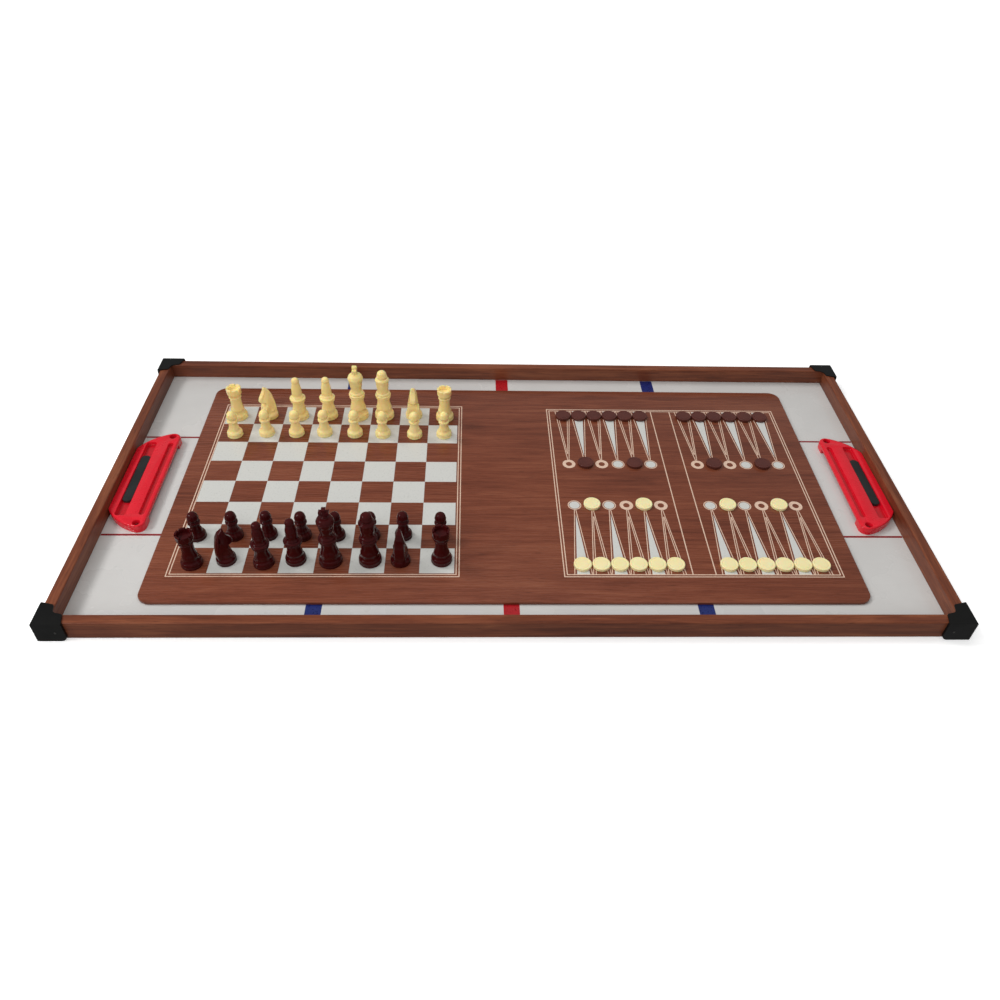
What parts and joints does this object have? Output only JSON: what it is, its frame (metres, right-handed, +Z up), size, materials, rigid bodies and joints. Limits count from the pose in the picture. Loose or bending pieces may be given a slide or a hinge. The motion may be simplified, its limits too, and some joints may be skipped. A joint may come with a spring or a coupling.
{
  "type": "table-top multi-game board set",
  "caption": "Shallow wood-framed tray with two hood goals and a loose printed board carrying a chess set and a backgammon set, all pieces free to lift off.",
  "frame": {"origin": "middle of the tray, at the level of the undersides of its corner caps, which it stands on", "axes": "+X along the tray's length to the right as the players' board letters run, +Y to the back (the ivory chess side), +Z up"},
  "size_m": [0.949, 0.48, 0.0855],
  "materials": {
    "rail_wood": "satin wood-grain foil",
    "game_board": "semi-gloss printed laminate, wood grain",
    "playfield": "gloss white laminate with printed lines",
    "cap_plastic": "black, lightly textured",
    "goal_plastic": "gloss red",
    "goal_pad": "black",
    "ivory_plastic": "gloss ivory",
    "dark_plastic": "gloss mahogany brown"
  },
  "bodies": {
    "tray": {"playfield_panel": "playfield", "rail_front": "rail_wood", "rail_back": "rail_wood", "rail_left": "rail_wood", "rail_right": "rail_wood", "corner_cap_front_left": "cap_plastic", "corner_cap_front_right": "cap_plastic", "corner_cap_back_right": "cap_plastic", "corner_cap_back_left": "cap_plastic", "goal_left": "goal_plastic", "goal_right": "goal_plastic", "goal_pad_left": "goal_pad", "goal_pad_right": "goal_pad"},
    "game_insert": {"game_insert": "game_board"},
    "ivory_rook_a": {"ivory_rook_a": "ivory_plastic"},
    "ivory_knight_b": {"ivory_knight_b": "ivory_plastic"},
    "ivory_bishop_c": {"ivory_bishop_c": "ivory_plastic"},
    "ivory_bishop_d": {"ivory_bishop_d": "ivory_plastic"},
    "ivory_king_e": {"ivory_king_e": "ivory_plastic"},
    "ivory_queen_f": {"ivory_queen_f": "ivory_plastic"},
    "ivory_knight_g": {"ivory_knight_g": "ivory_plastic"},
    "ivory_rook_h": {"ivory_rook_h": "ivory_plastic"},
    "ivory_pawn_a": {"ivory_pawn_a": "ivory_plastic"},
    "ivory_pawn_b": {"ivory_pawn_b": "ivory_plastic"},
    "ivory_pawn_c": {"ivory_pawn_c": "ivory_plastic"},
    "ivory_pawn_d": {"ivory_pawn_d": "ivory_plastic"},
    "ivory_pawn_e": {"ivory_pawn_e": "ivory_plastic"},
    "ivory_pawn_f": {"ivory_pawn_f": "ivory_plastic"},
    "ivory_pawn_g": {"ivory_pawn_g": "ivory_plastic"},
    "ivory_pawn_h": {"ivory_pawn_h": "ivory_plastic"},
    "dark_rook_a": {"dark_rook_a": "dark_plastic"},
    "dark_knight_b": {"dark_knight_b": "dark_plastic"},
    "dark_bishop_c": {"dark_bishop_c": "dark_plastic"},
    "dark_bishop_d": {"dark_bishop_d": "dark_plastic"},
    "dark_king_e": {"dark_king_e": "dark_plastic"},
    "dark_queen_f": {"dark_queen_f": "dark_plastic"},
    "dark_knight_g": {"dark_knight_g": "dark_plastic"},
    "dark_rook_h": {"dark_rook_h": "dark_plastic"},
    "dark_pawn_a": {"dark_pawn_a": "dark_plastic"},
    "dark_pawn_b": {"dark_pawn_b": "dark_plastic"},
    "dark_pawn_c": {"dark_pawn_c": "dark_plastic"},
    "dark_pawn_d": {"dark_pawn_d": "dark_plastic"},
    "dark_pawn_e": {"dark_pawn_e": "dark_plastic"},
    "dark_pawn_f": {"dark_pawn_f": "dark_plastic"},
    "dark_pawn_g": {"dark_pawn_g": "dark_plastic"},
    "dark_pawn_h": {"dark_pawn_h": "dark_plastic"},
    "dark_checker_row_left": {"dark_checker_row_left": "dark_plastic"},
    "dark_checker_second_left": {"dark_checker_second_left": "dark_plastic"},
    "dark_checker_fifth_left": {"dark_checker_fifth_left": "dark_plastic"},
    "dark_checker_row_right": {"dark_checker_row_right": "dark_plastic"},
    "dark_checker_second_right": {"dark_checker_second_right": "dark_plastic"},
    "dark_checker_fifth_right": {"dark_checker_fifth_right": "dark_plastic"},
    "ivory_checker_row_left": {"ivory_checker_row_left": "ivory_plastic"},
    "ivory_checker_second_left": {"ivory_checker_second_left": "ivory_plastic"},
    "ivory_checker_fifth_left": {"ivory_checker_fifth_left": "ivory_plastic"},
    "ivory_checker_row_right": {"ivory_checker_row_right": "ivory_plastic"},
    "ivory_checker_second_right": {"ivory_checker_second_right": "ivory_plastic"},
    "ivory_checker_fifth_right": {"ivory_checker_fifth_right": "ivory_plastic"}
  },
  "joints": [
    {"name": "game_insert_lift", "type": "slide", "parent": "tray", "child": "game_insert", "axis": [0, 0, 1], "range_m": [0, 0.06]},
    {"name": "ivory_rook_a_lift", "type": "slide", "parent": "game_insert", "child": "ivory_rook_a", "axis": [0, 0, 1], "range_m": [0, 0.1]},
    {"name": "ivory_knight_b_lift", "type": "slide", "parent": "game_insert", "child": "ivory_knight_b", "axis": [0, 0, 1], "range_m": [0, 0.1]},
    {"name": "ivory_bishop_c_lift", "type": "slide", "parent": "game_insert", "child": "ivory_bishop_c", "axis": [0, 0, 1], "range_m": [0, 0.1]},
    {"name": "ivory_bishop_d_lift", "type": "slide", "parent": "game_insert", "child": "ivory_bishop_d", "axis": [0, 0, 1], "range_m": [0, 0.1]},
    {"name": "ivory_king_e_lift", "type": "slide", "parent": "game_insert", "child": "ivory_king_e", "axis": [0, 0, 1], "range_m": [0, 0.1]},
    {"name": "ivory_queen_f_lift", "type": "slide", "parent": "game_insert", "child": "ivory_queen_f", "axis": [0, 0, 1], "range_m": [0, 0.1]},
    {"name": "ivory_knight_g_lift", "type": "slide", "parent": "game_insert", "child": "ivory_knight_g", "axis": [0, 0, 1], "range_m": [0, 0.1]},
    {"name": "ivory_rook_h_lift", "type": "slide", "parent": "game_insert", "child": "ivory_rook_h", "axis": [0, 0, 1], "range_m": [0, 0.1]},
    {"name": "ivory_pawn_a_lift", "type": "slide", "parent": "game_insert", "child": "ivory_pawn_a", "axis": [0, 0, 1], "range_m": [0, 0.1]},
    {"name": "ivory_pawn_b_lift", "type": "slide", "parent": "game_insert", "child": "ivory_pawn_b", "axis": [0, 0, 1], "range_m": [0, 0.1]},
    {"name": "ivory_pawn_c_lift", "type": "slide", "parent": "game_insert", "child": "ivory_pawn_c", "axis": [0, 0, 1], "range_m": [0, 0.1]},
    {"name": "ivory_pawn_d_lift", "type": "slide", "parent": "game_insert", "child": "ivory_pawn_d", "axis": [0, 0, 1], "range_m": [0, 0.1]},
    {"name": "ivory_pawn_e_lift", "type": "slide", "parent": "game_insert", "child": "ivory_pawn_e", "axis": [0, 0, 1], "range_m": [0, 0.1]},
    {"name": "ivory_pawn_f_lift", "type": "slide", "parent": "game_insert", "child": "ivory_pawn_f", "axis": [0, 0, 1], "range_m": [0, 0.1]},
    {"name": "ivory_pawn_g_lift", "type": "slide", "parent": "game_insert", "child": "ivory_pawn_g", "axis": [0, 0, 1], "range_m": [0, 0.1]},
    {"name": "ivory_pawn_h_lift", "type": "slide", "parent": "game_insert", "child": "ivory_pawn_h", "axis": [0, 0, 1], "range_m": [0, 0.1]},
    {"name": "dark_rook_a_lift", "type": "slide", "parent": "game_insert", "child": "dark_rook_a", "axis": [0, 0, 1], "range_m": [0, 0.1]},
    {"name": "dark_knight_b_lift", "type": "slide", "parent": "game_insert", "child": "dark_knight_b", "axis": [0, 0, 1], "range_m": [0, 0.1]},
    {"name": "dark_bishop_c_lift", "type": "slide", "parent": "game_insert", "child": "dark_bishop_c", "axis": [0, 0, 1], "range_m": [0, 0.1]},
    {"name": "dark_bishop_d_lift", "type": "slide", "parent": "game_insert", "child": "dark_bishop_d", "axis": [0, 0, 1], "range_m": [0, 0.1]},
    {"name": "dark_king_e_lift", "type": "slide", "parent": "game_insert", "child": "dark_king_e", "axis": [0, 0, 1], "range_m": [0, 0.1]},
    {"name": "dark_queen_f_lift", "type": "slide", "parent": "game_insert", "child": "dark_queen_f", "axis": [0, 0, 1], "range_m": [0, 0.1]},
    {"name": "dark_knight_g_lift", "type": "slide", "parent": "game_insert", "child": "dark_knight_g", "axis": [0, 0, 1], "range_m": [0, 0.1]},
    {"name": "dark_rook_h_lift", "type": "slide", "parent": "game_insert", "child": "dark_rook_h", "axis": [0, 0, 1], "range_m": [0, 0.1]},
    {"name": "dark_pawn_a_lift", "type": "slide", "parent": "game_insert", "child": "dark_pawn_a", "axis": [0, 0, 1], "range_m": [0, 0.1]},
    {"name": "dark_pawn_b_lift", "type": "slide", "parent": "game_insert", "child": "dark_pawn_b", "axis": [0, 0, 1], "range_m": [0, 0.1]},
    {"name": "dark_pawn_c_lift", "type": "slide", "parent": "game_insert", "child": "dark_pawn_c", "axis": [0, 0, 1], "range_m": [0, 0.1]},
    {"name": "dark_pawn_d_lift", "type": "slide", "parent": "game_insert", "child": "dark_pawn_d", "axis": [0, 0, 1], "range_m": [0, 0.1]},
    {"name": "dark_pawn_e_lift", "type": "slide", "parent": "game_insert", "child": "dark_pawn_e", "axis": [0, 0, 1], "range_m": [0, 0.1]},
    {"name": "dark_pawn_f_lift", "type": "slide", "parent": "game_insert", "child": "dark_pawn_f", "axis": [0, 0, 1], "range_m": [0, 0.1]},
    {"name": "dark_pawn_g_lift", "type": "slide", "parent": "game_insert", "child": "dark_pawn_g", "axis": [0, 0, 1], "range_m": [0, 0.1]},
    {"name": "dark_pawn_h_lift", "type": "slide", "parent": "game_insert", "child": "dark_pawn_h", "axis": [0, 0, 1], "range_m": [0, 0.1]},
    {"name": "dark_checker_row_left_lift", "type": "slide", "parent": "game_insert", "child": "dark_checker_row_left", "axis": [0, 0, 1], "range_m": [0, 0.04]},
    {"name": "dark_checker_second_left_lift", "type": "slide", "parent": "game_insert", "child": "dark_checker_second_left", "axis": [0, 0, 1], "range_m": [0, 0.04]},
    {"name": "dark_checker_fifth_left_lift", "type": "slide", "parent": "game_insert", "child": "dark_checker_fifth_left", "axis": [0, 0, 1], "range_m": [0, 0.04]},
    {"name": "dark_checker_row_right_lift", "type": "slide", "parent": "game_insert", "child": "dark_checker_row_right", "axis": [0, 0, 1], "range_m": [0, 0.04]},
    {"name": "dark_checker_second_right_lift", "type": "slide", "parent": "game_insert", "child": "dark_checker_second_right", "axis": [0, 0, 1], "range_m": [0, 0.04]},
    {"name": "dark_checker_fifth_right_lift", "type": "slide", "parent": "game_insert", "child": "dark_checker_fifth_right", "axis": [0, 0, 1], "range_m": [0, 0.04]},
    {"name": "ivory_checker_row_left_lift", "type": "slide", "parent": "game_insert", "child": "ivory_checker_row_left", "axis": [0, 0, 1], "range_m": [0, 0.04]},
    {"name": "ivory_checker_second_left_lift", "type": "slide", "parent": "game_insert", "child": "ivory_checker_second_left", "axis": [0, 0, 1], "range_m": [0, 0.04]},
    {"name": "ivory_checker_fifth_left_lift", "type": "slide", "parent": "game_insert", "child": "ivory_checker_fifth_left", "axis": [0, 0, 1], "range_m": [0, 0.04]},
    {"name": "ivory_checker_row_right_lift", "type": "slide", "parent": "game_insert", "child": "ivory_checker_row_right", "axis": [0, 0, 1], "range_m": [0, 0.04]},
    {"name": "ivory_checker_second_right_lift", "type": "slide", "parent": "game_insert", "child": "ivory_checker_second_right", "axis": [0, 0, 1], "range_m": [0, 0.04]},
    {"name": "ivory_checker_fifth_right_lift", "type": "slide", "parent": "game_insert", "child": "ivory_checker_fifth_right", "axis": [0, 0, 1], "range_m": [0, 0.04]}
  ]
}
